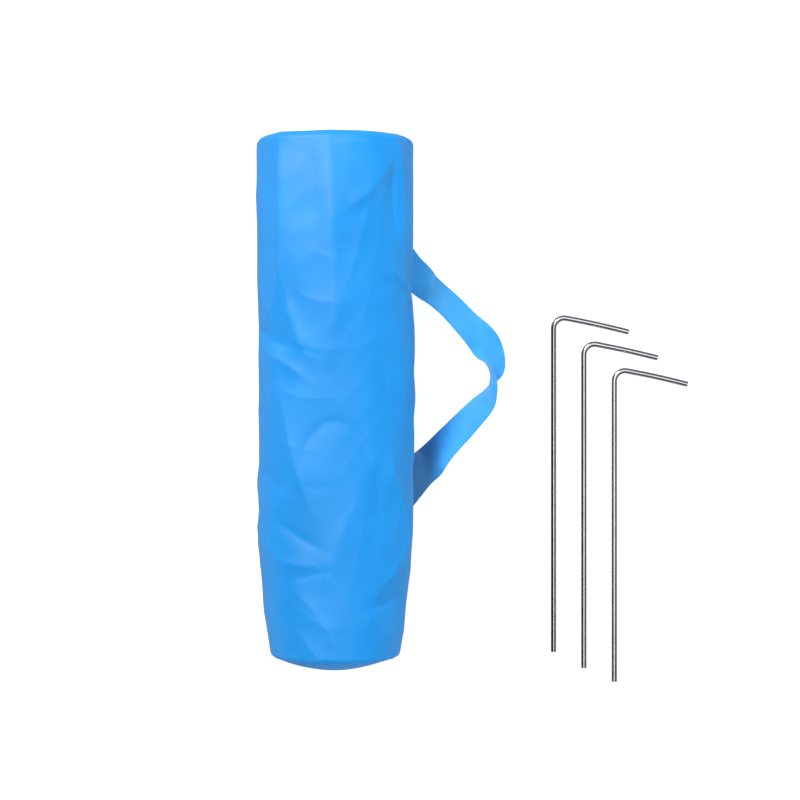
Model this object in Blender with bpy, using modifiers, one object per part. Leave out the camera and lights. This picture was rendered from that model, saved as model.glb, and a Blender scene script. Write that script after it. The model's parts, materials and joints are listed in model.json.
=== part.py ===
"""Packed teardrop flag kit: a full carry bag lying on its side with its carry strap laid out,
the flag rolled round its pole sections inside it, and three L-shaped ground pegs beside it.

Metres. The origin is the middle of the bag's flat underside, +Y runs along the bag to its
mouth, +X points to the side with the strap and the pegs, and +Z is up.
"""
import math

import bmesh
import bpy
import numpy as np
from mathutils import Vector

# --- clearances and cloth -------------------------------------------------------------------
GAP = 0.0003                # between touching pieces
CLOTH = 0.0010              # bag cloth with its coating
TAPE = 0.0012               # seam binding tape, folded

# --- carry bag ------------------------------------------------------------------------------
BAG_HALF_WIDTH = 0.0555
BAG_HEIGHT = 0.084
BAG_ROUNDNESS = 2.3         # superellipse power of the full bag, 2 is an ellipse
UNDERSIDE_SINK = 0.0012     # how much of the round section the ground flattens
BASE_RADIUS = 0.0459        # the sewn-in round base holds this end open
BASE_Y = -0.182
BASE_BULGE = 0.0095
BULGE_POWER = 2.4
TAPER_Y = -0.070            # from here the bag narrows towards the base
TAPER_POWER = 1.88
MOUTH_Y = 0.184
SHOULDER = 0.005            # rounding where the side turns into the gathered mouth
MOUTH_RADIUS = 0.006        # where the gathers run into the drawcord tunnel
MOUTH_DIMPLE = 0.012        # the gathers sink this far
HEM_WALL = 0.0042           # bunched drawcord tunnel, pulled nearly shut
HEM_LENGTH = 0.0085
EYELET_RADIUS = 0.0036
EYELET_HOLE = 0.0020
EYELET_THICKNESS = 0.0009
BINDING_WIDTH = 0.008       # seam binding tape inside the base seam

# --- side seam and carry strap --------------------------------------------------------------
SEAM_Z = 0.027              # height of the lengthwise seam on the bag's side
SEAM_Y0, SEAM_Y1 = -0.150, 0.150
SEAM_TAPE_WIDTH = 0.008
STRAP_WIDTH = 0.025
STRAP_THICKNESS = 0.0014
STRAP_TAIL = 0.012          # webbing caught inside the seam
# Middle of the webbing: x, y, z and the lean of its face, with the outer edge lower.
STRAP_ROUTE = [
    (0.0480, 0.0990, 0.0314, 26),
    (0.0545, 0.0912, 0.0270, 27),
    (0.0640, 0.0826, 0.0208, 32),
    (0.0746, 0.0741, 0.0150, 39),
    (0.0860, 0.0636, 0.0107, 40),
    (0.0966, 0.0530, 0.0085, 35),
    (0.1050, 0.0440, 0.0062, 24),
    (0.1100, 0.0365, 0.0062, 22),
    (0.1135, 0.0270, 0.0092, 41),
    (0.1140, 0.0180, 0.0126, 68),
    (0.1130, 0.0098, 0.0133, 96),
    (0.1095, -0.0006, 0.0122, 119),
    (0.1035, -0.0082, 0.0108, 131),
    (0.0940, -0.0185, 0.0100, 138),
    (0.0819, -0.0310, 0.0112, 142),
    (0.0700, -0.0437, 0.0168, 155),
    (0.0620, -0.0530, 0.0221, 195),
    (0.0545, -0.0620, 0.0270, 207),
    (0.0480, -0.0698, 0.0314, 206),
]
STRAP_SLOPE = 34            # degrees the webbing slopes down where it leaves the seam
STRAP_FOLD = 0.010          # past this from the seam the webbing starts to turn over

# --- packed flag and poles ------------------------------------------------------------------
ROLL_Y0, ROLL_Y1 = -0.158, 0.160
POLE_COUNT_ROUND = 6        # sections round the middle one
POLE_LENGTH = 0.322
POLE_RADIUS = 0.0042
FERRULE_LENGTH = 0.060
FERRULE_WALL = 0.0009
FERRULE_OVERLAP = 0.030     # length of ferrule bonded on its pole
POLE_Y = -0.170             # lower ends of the sections

# --- ground pegs ----------------------------------------------------------------------------
WIRE_RADIUS = 0.0020
PEG_BEND_RADIUS = 0.0080    # of the wire's middle line
HOOK_SLOPE = 12.5           # degrees the hook falls below square
PEGS = [                    # shaft x, top of the bend, foot of the shaft, reach of the hook
    (0.1592, 0.0608, -0.1878, 0.0555),
    (0.1816, 0.0415, -0.1997, 0.0545),
    (0.2041, 0.0219, -0.2098, 0.0540),
]

RING = 44                   # points round the bag


def clear_scene():
    for item in list(bpy.data.objects):
        bpy.data.objects.remove(item, do_unlink=True)


def new_collection(name):
    collection = bpy.data.collections.new(name)
    bpy.context.scene.collection.children.link(collection)
    return collection


def material(name, colour, roughness, metallic=0.0):
    made = bpy.data.materials.new(name)
    made.use_nodes = True
    shader = made.node_tree.nodes["Principled BSDF"]
    shader.inputs["Base Color"].default_value = (*colour, 1.0)
    shader.inputs["Roughness"].default_value = roughness
    shader.inputs["Metallic"].default_value = metallic
    return made


def place(collection, name, data, finish, origin=(0, 0, 0)):
    piece = bpy.data.objects.new(name, data)
    piece.location = origin
    data.materials.append(finish)
    collection.objects.link(piece)
    return piece


def mesh_from(name, points, faces, origin=(0, 0, 0), is_open=False):
    """Mesh of the given faces, in coordinates about origin, facing outwards and shaded smooth."""
    mesh = bpy.data.meshes.new(name)
    corners = [tuple(Vector(p) - Vector(origin)) for p in points]
    mesh.from_pydata(corners, [], [tuple(int(i) for i in face) for face in faces])
    if not is_open:
        shape = bmesh.new()
        shape.from_mesh(mesh)
        bmesh.ops.recalc_face_normals(shape, faces=shape.faces)
        shape.to_mesh(mesh)
        shape.free()
    mesh.shade_smooth()
    mesh.set_sharp_from_angle(angle=math.radians(35))
    return mesh


def skin(rows, count, closed_along=False):
    """Quads between neighbouring rows of count points, each row closed on itself. They face
    outwards where the points turn from +X to +Z and the rows follow +Y."""
    total = len(rows)
    last = total if closed_along else total - 1
    faces = []
    for row in range(last):
        below = row * count
        above = (row + 1) % total * count
        for i in range(count):
            j = (i + 1) % count
            faces.append((below + i, above + i, above + j, below + j))
    return faces


def turned(collection, name, profile, finish, centre, steps=32, closed=True):
    """Profile of (radius, along) points turned about the Y direction through centre."""
    mesh = bpy.data.meshes.new(name)
    points = [(radius, 0.0, along) for radius, along in profile]
    edges = [(i, i + 1) for i in range(len(points) - 1)]
    if closed:
        edges.append((len(points) - 1, 0))
    mesh.from_pydata(points, edges, [])
    piece = place(collection, name, mesh, finish, centre)
    piece.rotation_euler = (-math.pi / 2, 0, 0)
    spin = piece.modifiers.new("Turn", "SCREW")
    spin.steps = spin.render_steps = steps
    spin.use_merge_vertices = True
    spin.merge_threshold = 0.00001
    spin.use_smooth_shade = True
    return piece


# --- bag shape ------------------------------------------------------------------------------
def taper(y):
    """0 along the full bag, rising to 1 at the base seam."""
    return max(0.0, (TAPER_Y - y) / (TAPER_Y - BASE_Y)) ** TAPER_POWER


def bag_size(y):
    """Half width, half height, height of the middle and superellipse power of the bag at y."""
    share = taper(y)
    half_width = BAG_HALF_WIDTH + (BASE_RADIUS - BAG_HALF_WIDTH) * share
    height = BAG_HEIGHT + (2 * BASE_RADIUS - BAG_HEIGHT) * share
    half_height = (height + UNDERSIDE_SINK * (1 - share)) / 2
    return half_width, half_height, height - half_height, BAG_ROUNDNESS + (2 - BAG_ROUNDNESS) * share


def bag_section(y, inset=0.0, floor=0.0):
    """Closed section of the bag at y, drawn in by inset and cut flat at the height floor."""
    half_width, half_height, middle, roundness = bag_size(y)
    return section_ring(y, half_width - inset, half_height - inset, middle, 2 / roundness, floor)


def bag_side(y, z, inset=0.0):
    """Half width of the bag at y and the height z, drawn in by inset."""
    half_width, half_height, middle, roundness = bag_size(y)
    share = abs(z - middle) / (half_height - inset)
    return (half_width - inset) * (1 - share ** roundness) ** (1 / roundness)


def section_ring(y, half_width, half_height, middle, power, floor):
    angle = np.arange(RING) * 2 * math.pi / RING
    across = np.sign(np.cos(angle)) * np.abs(np.cos(angle)) ** power * half_width
    up = np.sign(np.sin(angle)) * np.abs(np.sin(angle)) ** power * half_height + middle
    return np.stack([across, np.full(RING, y), np.maximum(up, floor)], axis=1)


def bag_middle():
    """Height of the middle of the full bag's section."""
    return bag_size(0)[2]


def mouth_rows():
    """Outer rows from the shoulder's start, over the shoulder and down the gathers to the hole."""
    start = MOUTH_Y - SHOULDER
    rows = []
    for turn in np.linspace(0, math.pi / 2, 6):
        inset = SHOULDER * (1 - math.cos(turn))
        rows.append(bag_section(start + SHOULDER * math.sin(turn), inset))
    half_width = BAG_HALF_WIDTH - SHOULDER
    half_height = bag_size(0)[1] - SHOULDER
    for share in np.linspace(0, 1, 7)[1:]:
        dip = MOUTH_DIMPLE * share * share * (3 - 2 * share)
        power = 2 / (BAG_ROUNDNESS + (2 - BAG_ROUNDNESS) * share)
        rows.append(section_ring(MOUTH_Y - dip, half_width + (MOUTH_RADIUS - half_width) * share,
                                 half_height + (MOUTH_RADIUS - half_height) * share,
                                 bag_middle(), power, 0.0))
    return rows


def make_side_wall(collection, finish):
    start = MOUTH_Y - SHOULDER
    straight = [bag_section(y) for y in np.linspace(TAPER_Y, start, 9)[1:-1]]
    narrowing = [bag_section(y) for y in np.linspace(BASE_Y, TAPER_Y, 9)]
    rows = narrowing + straight + mouth_rows()
    mesh = mesh_from("bag_side_wall", np.concatenate(rows), skin(rows, RING), is_open=True)
    piece = place(collection, "bag_side_wall", mesh, finish)
    wall = piece.modifiers.new("Cloth", "SOLIDIFY")
    wall.thickness = CLOTH
    wall.offset = -1
    wall.use_even_offset = True


def make_base_panel(collection, finish):
    """Round sewn-in base, pushed out by what is packed."""
    inner = []
    for share in np.linspace(0, 1, 8):
        inner.append((BASE_RADIUS * share, -BASE_BULGE * (1 - share ** BULGE_POWER)))
    outer = [(radius, along - CLOTH) for radius, along in reversed(inner)]
    turned(collection, "base_panel", inner + outer, finish,
           (0, BASE_Y - GAP, BASE_RADIUS), steps=RING, closed=False)


def make_base_binding(collection, finish):
    """Tape folded over the seam allowance inside the base seam."""
    shrink = 2 * BASE_RADIUS - sum(bag_size(BASE_Y + BINDING_WIDTH)[1:3])
    outer = BASE_RADIUS - CLOTH - 2 * GAP - max(0, shrink)
    inner = outer - TAPE
    profile = [(outer, BINDING_WIDTH), (outer, GAP), (inner, GAP), (inner, BINDING_WIDTH)]
    turned(collection, "base_seam_binding", profile, finish, (0, BASE_Y, BASE_RADIUS), steps=RING)


def make_mouth(collection, cloth, metal):
    """Gathered drawcord tunnel standing in the dimple, with the eyelet the cord comes out of."""
    foot = MOUTH_Y - MOUTH_DIMPLE + GAP
    inner = MOUTH_RADIUS - HEM_WALL
    outer = MOUTH_RADIUS
    edge = HEM_WALL * 0.3
    top = HEM_LENGTH
    profile = [(outer - edge, top), (outer, top - edge), (outer, 0), (inner, 0),
               (inner, top - edge), (inner + edge, top)]
    centre = (0, foot, bag_middle())
    turned(collection, "mouth_hem", profile, cloth, centre)
    ring = [(EYELET_RADIUS, EYELET_THICKNESS), (EYELET_RADIUS, 0),
            (EYELET_HOLE, 0), (EYELET_HOLE, EYELET_THICKNESS)]
    seat = bag_middle() + outer + GAP
    eyelet = turned(collection, "drawcord_eyelet", ring, metal,
                    (0, foot + HEM_LENGTH / 2, seat), steps=24)
    eyelet.rotation_euler = (0, 0, 0)


def flank_strip(name, collection, finish, ys, zs, inset, thickness, slant=0.0):
    """Strip on the inside of the bag's side between two ends ys and two heights zs. Slant moves
    it along the bag as it goes from the first height to the second."""
    along = np.linspace(*ys, max(2, round(abs(ys[1] - ys[0]) / 0.02)))
    heights = np.linspace(*zs, 4)
    rows = []
    for y in along:
        shifted = y + slant * abs(heights - zs[0])
        outer = [(bag_side(v, z, inset), v, z) for v, z in zip(shifted, heights)]
        inner = [(bag_side(v, z, inset) - thickness, v, z) for v, z in zip(shifted, heights)]
        rows.append(np.array(outer + inner[::-1]))
    count = len(rows[0])
    faces = skin(rows, count)
    faces.append(tuple(range(count)))
    faces.append(tuple((len(rows) - 1) * count + i for i in reversed(range(count))))
    place(collection, name, mesh_from(name, np.concatenate(rows), faces), finish)


def make_side_seam(collection, tape, webbing):
    """Binding over the lengthwise seam, and the two webbing tails that the seam holds."""
    low, high = SEAM_Z - SEAM_TAPE_WIDTH / 2, SEAM_Z + SEAM_TAPE_WIDTH / 2
    inset = CLOTH + 2 * GAP
    flank_strip("side_seam_binding", collection, tape, (SEAM_Y0, SEAM_Y1), (low, high), inset, TAPE)
    reach = STRAP_WIDTH / math.sin(math.radians(45)) / 2
    upper, lower = strap_roots()
    for name, y, slant in (("strap_tail_upper", upper, 1.0), ("strap_tail_lower", lower, -1.0)):
        flank_strip(name, collection, webbing, (y - reach, y + reach), (low - GAP, low - STRAP_TAIL),
                    inset, STRAP_THICKNESS, slant)


# --- carry strap ----------------------------------------------------------------------------
def smooth_route(points, steps):
    """Catmull-Rom curve through the points, with steps spans between neighbours."""
    points = np.array(points, dtype=float)
    padded = np.vstack([2 * points[0] - points[1], points, 2 * points[-1] - points[-2]])
    curve = []
    for i in range(1, len(padded) - 2):
        before, start, end, after = padded[i - 1:i + 3]
        for t in np.arange(steps) / steps:
            curve.append(0.5 * (2 * start + (end - before) * t
                                + (2 * before - 5 * start + 4 * end - after) * t ** 2
                                + (3 * start - before - 3 * end + after) * t ** 3))
    curve.append(points[-1])
    return np.array(curve)


def hinge_x():
    """The strap's fold line lies its own half thickness clear of the bag's side."""
    return bag_side(0, SEAM_Z) + STRAP_THICKNESS / 2 + GAP


def strap_roots():
    """Where the middle of the webbing meets the seam, upper then lower."""
    curve = smooth_route([point[:3] for point in STRAP_ROUTE], 4)
    outside = np.where(curve[:, 0] > hinge_x())[0]
    return curve[outside[0], 1], curve[outside[-1], 1]


def make_strap(collection, finish):
    """Flat webbing along its route, trimmed along the seam and turning about that line."""
    curve = smooth_route(STRAP_ROUTE, 4)
    middle, lean = curve[:, :3], np.radians(curve[:, 3])
    reach_down = STRAP_WIDTH / 2 * abs(np.sin(lean)) + STRAP_THICKNESS / 2 * abs(np.cos(lean))
    rest_height = reach_down + GAP
    middle[:, 2] = np.maximum(middle[:, 2], rest_height)
    along = np.gradient(middle, axis=0)
    along /= np.linalg.norm(along, axis=1)[:, None]
    level = np.cross(along, (0, 0, 1.0)) * -1.0
    level /= np.linalg.norm(level, axis=1)[:, None]
    rise = np.cross(along, level)
    rise *= np.sign(rise[:, 2])[:, None]
    leaning = level * np.cos(lean)[:, None] - rise * np.sin(lean)[:, None]
    slope = math.radians(STRAP_SLOPE)
    folded = np.cross(along, (math.sin(slope), 0, math.cos(slope)))
    folded *= np.sign(np.sum(folded * leaning, axis=1))[:, None]
    free = np.clip((middle[:, 0] - hinge_x()) / STRAP_FOLD - 0.5, 0, 1)[:, None]
    across = folded * (1 - free) + leaning * free
    across -= along * np.sum(across * along, axis=1)[:, None]
    across /= np.linalg.norm(across, axis=1)[:, None]
    face = np.cross(along, across)
    half, thick = STRAP_WIDTH / 2, STRAP_THICKNESS / 2
    corners = [(-half, -thick), (0, -thick), (half, -thick), (half, thick), (0, thick), (-half, thick)]
    rows = [np.array([m + a * u + f * v for u, v in corners])
            for m, a, f in zip(middle, across, face)]
    count = len(corners)
    faces = skin(rows, count)
    faces.append(tuple(reversed(range(count))))
    faces.append(tuple((len(rows) - 1) * count + i for i in range(count)))
    origin = (hinge_x(), 0, SEAM_Z)
    mesh = mesh_from("strap_webbing", np.concatenate(rows), faces, origin)
    shape = bmesh.new()
    shape.from_mesh(mesh)
    everything = shape.verts[:] + shape.edges[:] + shape.faces[:]
    bmesh.ops.bisect_plane(shape, geom=everything, dist=0.000001, plane_co=(0, 0, 0),
                           plane_no=(math.cos(slope), 0, -math.sin(slope)), clear_inner=True)
    ends = [edge for edge in shape.edges if edge.is_boundary]
    bmesh.ops.holes_fill(shape, edges=ends, sides=0)
    bmesh.ops.triangulate(shape, faces=shape.faces)
    bmesh.ops.recalc_face_normals(shape, faces=shape.faces)
    shape.to_mesh(mesh)
    shape.free()
    place(collection, "strap_webbing", mesh, finish, origin)


# --- packed flag and poles ------------------------------------------------------------------
def pole_pitch():
    """Distance between neighbouring sections, set by their ferrules."""
    return 2 * (POLE_RADIUS + GAP + FERRULE_WALL) + 2 * GAP


def bundle_middle():
    return bag_middle()


def make_sail_roll(collection, finish):
    """Flag cloth rolled round the poles, filling the bag."""
    inset = CLOTH + 2 * GAP + TAPE + STRAP_THICKNESS
    bore = pole_pitch() * 1.5 + GAP
    stations = np.linspace(ROLL_Y0, ROLL_Y1, 9)
    floor = CLOTH + GAP
    outside = [roll_section(y, inset, floor) for y in stations]
    inside = [section_ring(y, bore, bore, bundle_middle(), 1.0, 0.0) for y in reversed(stations)]
    rows = outside + inside
    mesh = mesh_from("sail_roll", np.concatenate(rows), skin(rows, RING, closed_along=True))
    place(collection, "sail_roll", mesh, finish)


def roll_section(y, inset, floor):
    """The bag's section drawn in at the sides, its underside resting on the bag's cloth."""
    ring = bag_section(y, inset)
    low = ring[:, 2].min()
    ring[:, 2] = np.where(ring[:, 2] < bag_middle(),
                          bag_middle() - (bag_middle() - ring[:, 2])
                          * (bag_middle() - floor) / (bag_middle() - low), ring[:, 2])
    return ring


def pole_places():
    """Middle section first, then the ones round it. The last, the tip, has no ferrule."""
    places = [(0.0, bundle_middle())]
    for i in range(POLE_COUNT_ROUND):
        angle = 2 * math.pi * i / POLE_COUNT_ROUND
        away = pole_pitch()
        if i == POLE_COUNT_ROUND - 1:
            away = pole_pitch() / 2 + POLE_RADIUS
        places.append((away * math.cos(angle), bundle_middle() + away * math.sin(angle)))
    return places


def make_poles(collection, fibre, steel):
    """Pole sections side by side, each but the tip with a ferrule past its upper end."""
    hole = POLE_RADIUS + GAP
    sleeve = hole + FERRULE_WALL
    for number, (x, z) in enumerate(pole_places(), start=1):
        tip = number == POLE_COUNT_ROUND + 1
        length = POLE_LENGTH if tip else POLE_LENGTH - FERRULE_LENGTH + FERRULE_OVERLAP
        rod = [(0, length), (POLE_RADIUS, length), (POLE_RADIUS, 0), (0, 0)]
        turned(collection, f"pole_section_{number}", rod, fibre, (x, POLE_Y, z),
               steps=14, closed=False)
        if tip:
            continue
        foot = length - FERRULE_OVERLAP
        tube = [(sleeve, foot + FERRULE_LENGTH), (sleeve, foot), (hole, foot),
                (hole, foot + FERRULE_LENGTH)]
        turned(collection, f"pole_ferrule_{number}", tube, steel, (x, POLE_Y, z), steps=14)


# --- ground pegs ----------------------------------------------------------------------------
def make_pegs(collection, steel):
    """Straight wire, a bend and a hook that falls a little below square; ends cut square."""
    for number, (x, top, foot, reach) in enumerate(PEGS, start=1):
        shoulder = top - WIRE_RADIUS - PEG_BEND_RADIUS
        turn = 90 + HOOK_SLOPE
        route = [(x, foot)]
        for angle in np.radians(np.linspace(0, turn, 9)):
            route.append((x + PEG_BEND_RADIUS * (1 - math.cos(angle)),
                          shoulder + PEG_BEND_RADIUS * math.sin(angle)))
        fall = math.tan(math.radians(HOOK_SLOPE))
        bend_x, bend_y = route[-1]
        route.append((x + reach, bend_y - fall * (x + reach - bend_x)))
        curve = bpy.data.curves.new(f"ground_peg_{number}", "CURVE")
        curve.dimensions = "3D"
        curve.bevel_depth = WIRE_RADIUS
        curve.bevel_resolution = 3
        curve.use_fill_caps = True
        spline = curve.splines.new("POLY")
        spline.points.add(len(route) - 1)
        for point, (px, py) in zip(spline.points, route):
            point.co = (px - x, py, 0, 1)
        place(collection, f"ground_peg_{number}", curve, steel, (x, 0, WIRE_RADIUS))


def main():
    clear_scene()
    kit = new_collection("teardrop_flag_kit")
    cloth = material("bag_cloth", (0.045, 0.36, 0.95), 0.45)
    webbing = material("strap_webbing", (0.05, 0.37, 0.92), 0.65)
    tape = material("binding_tape", (0.04, 0.30, 0.80), 0.7)
    sail = material("sail_cloth", (0.80, 0.80, 0.78), 0.6)
    fibre = material("pole_fibreglass", (0.05, 0.05, 0.055), 0.4)
    ferrule = material("ferrule_steel", (0.55, 0.56, 0.58), 0.35, 1.0)
    plated = material("plated_steel", (0.75, 0.76, 0.78), 0.12, 1.0)
    make_side_wall(kit, cloth)
    make_base_panel(kit, cloth)
    make_base_binding(kit, tape)
    make_mouth(kit, cloth, plated)
    make_side_seam(kit, tape, webbing)
    make_strap(kit, webbing)
    make_sail_roll(kit, sail)
    make_poles(kit, fibre, ferrule)
    make_pegs(kit, plated)


main()
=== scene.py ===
# Packed teardrop flag kit: the cloth bag, its webbing strap and the wire pegs, laid flat.
import json
import math

import bmesh
import bpy
import numpy as np
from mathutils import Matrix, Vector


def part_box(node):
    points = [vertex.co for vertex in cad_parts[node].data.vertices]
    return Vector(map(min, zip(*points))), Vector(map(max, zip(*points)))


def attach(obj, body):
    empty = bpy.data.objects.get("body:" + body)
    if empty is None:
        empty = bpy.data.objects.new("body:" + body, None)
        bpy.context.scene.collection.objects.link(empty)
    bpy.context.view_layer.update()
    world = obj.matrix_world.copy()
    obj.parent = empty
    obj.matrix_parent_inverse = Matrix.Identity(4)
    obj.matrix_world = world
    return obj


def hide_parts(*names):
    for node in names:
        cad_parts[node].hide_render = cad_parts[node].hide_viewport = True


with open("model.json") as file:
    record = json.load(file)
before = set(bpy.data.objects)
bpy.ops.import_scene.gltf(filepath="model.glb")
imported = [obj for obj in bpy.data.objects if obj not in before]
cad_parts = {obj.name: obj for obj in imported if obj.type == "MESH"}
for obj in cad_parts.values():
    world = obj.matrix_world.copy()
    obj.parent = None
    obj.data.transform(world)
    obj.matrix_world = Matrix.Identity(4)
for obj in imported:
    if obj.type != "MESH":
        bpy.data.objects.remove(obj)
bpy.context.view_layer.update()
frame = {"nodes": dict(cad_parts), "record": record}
print("frame loaded:", len(frame["nodes"]), "nodes")

full = 2 * math.pi
floorGap = 0.0002          # height of the lowest cloth and webbing


def smoothStep(low, high, value):
    # 0 below low, 1 above high, and 3t^2 - 2t^3 between them
    t = np.clip((value - low) / (high - low), 0, 1)
    return t * t * (3 - 2 * t)


def waves(u, v, seed, count, uRange, vRange, wholeU=True):
    # Sum of sine waves sin(k u + q v + p) of random direction and phase, over the root of their count
    rng = np.random.RandomState(seed)
    total = np.zeros(np.broadcast(u, v).shape)
    for _ in range(count):
        k = rng.uniform(*uRange) * rng.choice([-1, 1])
        if wholeU:
            k = round(k)
        q = rng.uniform(*vRange)
        total = total + np.sin(k * u + q * v + rng.uniform(0, full))
    return total / math.sqrt(count)


def catmullRom(points, steps):
    # Smooth curve through the points: the usual cubic of four neighbours, steps spans each
    points = np.array(points, float)
    padded = np.vstack([2 * points[0] - points[1], points, 2 * points[-1] - points[-2]])
    t = (np.arange(steps) / steps)[None, :, None]
    p0, p1, p2, p3 = (padded[i:len(padded) - 3 + i, None, :] for i in range(4))
    curve = 0.5 * (2 * p1 + (p2 - p0) * t + (2 * p0 - 5 * p1 + 4 * p2 - p3) * t ** 2
                   + (3 * p1 - p0 - 3 * p2 + p3) * t ** 3)
    return np.vstack([curve.reshape(-1, points.shape[1]), points[-1:]])


def surface(name, points, uv=None, wrapU=True, wrapV=False, flip=False, capStart=False, capEnd=False):
    # Quads between the neighbours of a rows x columns grid of points; a cap fans to the row's middle
    rows, cols = points.shape[:2]
    r, c = np.meshgrid(np.arange(rows if wrapV else rows - 1),
                       np.arange(cols if wrapU else cols - 1), indexing="ij")
    corners = [(r, c), (r, c + 1), (r + 1, c + 1), (r + 1, c)]
    if flip:
        corners.reverse()
    quads = np.stack([(a % rows) * cols + b % cols for a, b in corners], -1).reshape(-1, 4)
    verts = points.reshape(-1, 3)
    loops = quads.reshape(-1)
    sizes = np.full(len(quads), 4)
    loopUv = None
    if uv is not None:
        loopUv = np.stack([uv[a, b] for a, b in corners], -2).reshape(-1, 2)
    for row, use, turned in ((0, capStart, flip), (rows - 1, capEnd, not flip)):
        if not use:
            continue
        middle = len(verts)
        verts = np.vstack([verts, points[row].mean(0)])
        a = row * cols + np.arange(cols)
        b = row * cols + (np.arange(cols) + 1) % cols
        fan = np.stack([b, a, np.full(cols, middle)] if not turned else
                       [a, b, np.full(cols, middle)], -1)
        loops = np.concatenate([loops, fan.reshape(-1)])
        sizes = np.concatenate([sizes, np.full(cols, 3)])
        if uv is not None:
            ring = np.stack([uv[row, :cols], uv[row, 1:cols + 1], uv[row, :cols]], 1)
            loopUv = np.vstack([loopUv, ring.reshape(-1, 2)])
    mesh = bpy.data.meshes.new(name)
    mesh.vertices.add(len(verts))
    mesh.vertices.foreach_set("co", np.ascontiguousarray(verts, dtype=np.float32).reshape(-1))
    mesh.loops.add(len(loops))
    mesh.loops.foreach_set("vertex_index", loops.astype(np.int32))
    mesh.polygons.add(len(sizes))
    starts = np.concatenate([[0], np.cumsum(sizes)[:-1]])
    mesh.polygons.foreach_set("loop_start", starts.astype(np.int32))
    if loopUv is not None:
        layer = mesh.uv_layers.new(name="UVMap")
        layer.data.foreach_set("uv", loopUv.astype(np.float32).reshape(-1))
    mesh.update(calc_edges=True)
    mesh.validate()
    mesh.shade_smooth()
    piece = bpy.data.objects.new(name, mesh)
    bpy.context.scene.collection.objects.link(piece)
    return piece


def normalsOf(points):
    # Unit normal of a grid surface: cross product of its central differences
    normal = np.cross(np.gradient(points, axis=0), np.gradient(points, axis=1))
    return normal / np.maximum(np.linalg.norm(normal, axis=2, keepdims=True), 1e-12)


def finishPiece(piece, material, body, slot, *nodes):
    piece.data.materials.clear()
    piece.data.materials.append(material)
    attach(piece, body)
    if nodes:
        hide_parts(*nodes)


def newMaterial(name):
    material = bpy.data.materials.new(name)
    material.use_nodes = True
    tree = material.node_tree
    return material, tree, tree.nodes["Principled BSDF"]


def addNode(tree, kind, **values):
    node = tree.nodes.new(kind)
    for key, value in values.items():
        setattr(node, key, value)
    return node


def mathNode(tree, operation, first, second=None):
    node = addNode(tree, "ShaderNodeMath", operation=operation)
    for socket, value in zip(node.inputs, (first, second)):
        if value is None:
            continue
        if isinstance(value, (int, float)):
            socket.default_value = value
        else:
            tree.links.new(value, socket)
    return node.outputs[0]


def noiseNode(tree, vector, scale, detail=3.0, roughness=0.5):
    node = addNode(tree, "ShaderNodeTexNoise")
    node.inputs["Scale"].default_value = scale
    node.inputs["Detail"].default_value = detail
    node.inputs["Roughness"].default_value = roughness
    tree.links.new(vector, node.inputs["Vector"])
    return node.outputs["Fac"]


def mixColours(tree, fac, dark, light):
    ramp = addNode(tree, "ShaderNodeValToRGB")
    ramp.color_ramp.elements[0].position = 0.3
    ramp.color_ramp.elements[0].color = (*dark, 1)
    ramp.color_ramp.elements[1].position = 0.7
    ramp.color_ramp.elements[1].color = (*light, 1)
    tree.links.new(fac, ramp.inputs[0])
    return ramp.outputs[0]


def rangeOf(tree, fac, low, high):
    node = addNode(tree, "ShaderNodeMapRange")
    node.inputs["To Min"].default_value = low
    node.inputs["To Max"].default_value = high
    tree.links.new(fac, node.inputs["Value"])
    return node.outputs[0]


def bumpNode(tree, height, strength, distance, under=None):
    node = addNode(tree, "ShaderNodeBump")
    node.inputs["Strength"].default_value = strength
    node.inputs["Distance"].default_value = distance
    tree.links.new(height, node.inputs["Height"])
    if under is not None:
        tree.links.new(under, node.inputs["Normal"])
    return node.outputs[0]


clothLook = {
    "dark": (0.0085, 0.250, 0.680),
    "light": (0.0115, 0.284, 0.755),
    "rough": (0.42, 0.54),
    "specular": 0.42,
    "sheen": 0.04,
    "thread": 0.00046,         # pitch of the woven threads
    "weave": 0.22,
    "patchScale": 26,
    "crinkle": 0.10,
}


def clothMaterial(name, look):
    # Height: sin(u/p) sin(v/p), one bump for each thread crossing, over a fine noise of the coating
    material, tree, shader = newMaterial(name)
    coords = addNode(tree, "ShaderNodeTexCoord")
    place = coords.outputs["Object"]
    uv = addNode(tree, "ShaderNodeSeparateXYZ")
    tree.links.new(coords.outputs["UV"], uv.inputs[0])
    rate = full / look["thread"]
    warp = mathNode(tree, "SINE", mathNode(tree, "MULTIPLY", uv.outputs[0], rate))
    weft = mathNode(tree, "SINE", mathNode(tree, "MULTIPLY", uv.outputs[1], rate))
    weave = mathNode(tree, "MULTIPLY", warp, weft)
    crinkle = noiseNode(tree, place, 320, 4)
    coat = bumpNode(tree, crinkle, look["crinkle"], 0.0006)
    normal = bumpNode(tree, weave, look["weave"], 0.00006, coat)
    tree.links.new(normal, shader.inputs["Normal"])
    patches = noiseNode(tree, place, look["patchScale"], 4, 0.55)
    tree.links.new(mixColours(tree, patches, look["dark"], look["light"]), shader.inputs["Base Color"])
    shine = noiseNode(tree, place, 60, 3)
    tree.links.new(rangeOf(tree, shine, *look["rough"]), shader.inputs["Roughness"])
    shader.inputs["Specular IOR Level"].default_value = look["specular"]
    shader.inputs["Sheen Weight"].default_value = look["sheen"]
    shader.inputs["Sheen Roughness"].default_value = 0.4
    return material


webbingLook = {
    "dark": (0.024, 0.330, 0.800),
    "light": (0.045, 0.430, 0.940),
    # The next two entries paint shade on the webbing's lower end near its seam: its dark colour and the X
    # span over which it fades out
    "root": (0.038, 0.190, 0.440),
    "paintedShadeAt": (0.066, 0.079),  # X from where the lower end darkens to where it has its own colour
    "rib": 0.00135,            # pitch of the ribs across the webbing
    "pick": 0.00115,           # pitch of the weft along it
    "relief": 0.75,
    "rough": (0.50, 0.70),
}


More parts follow.
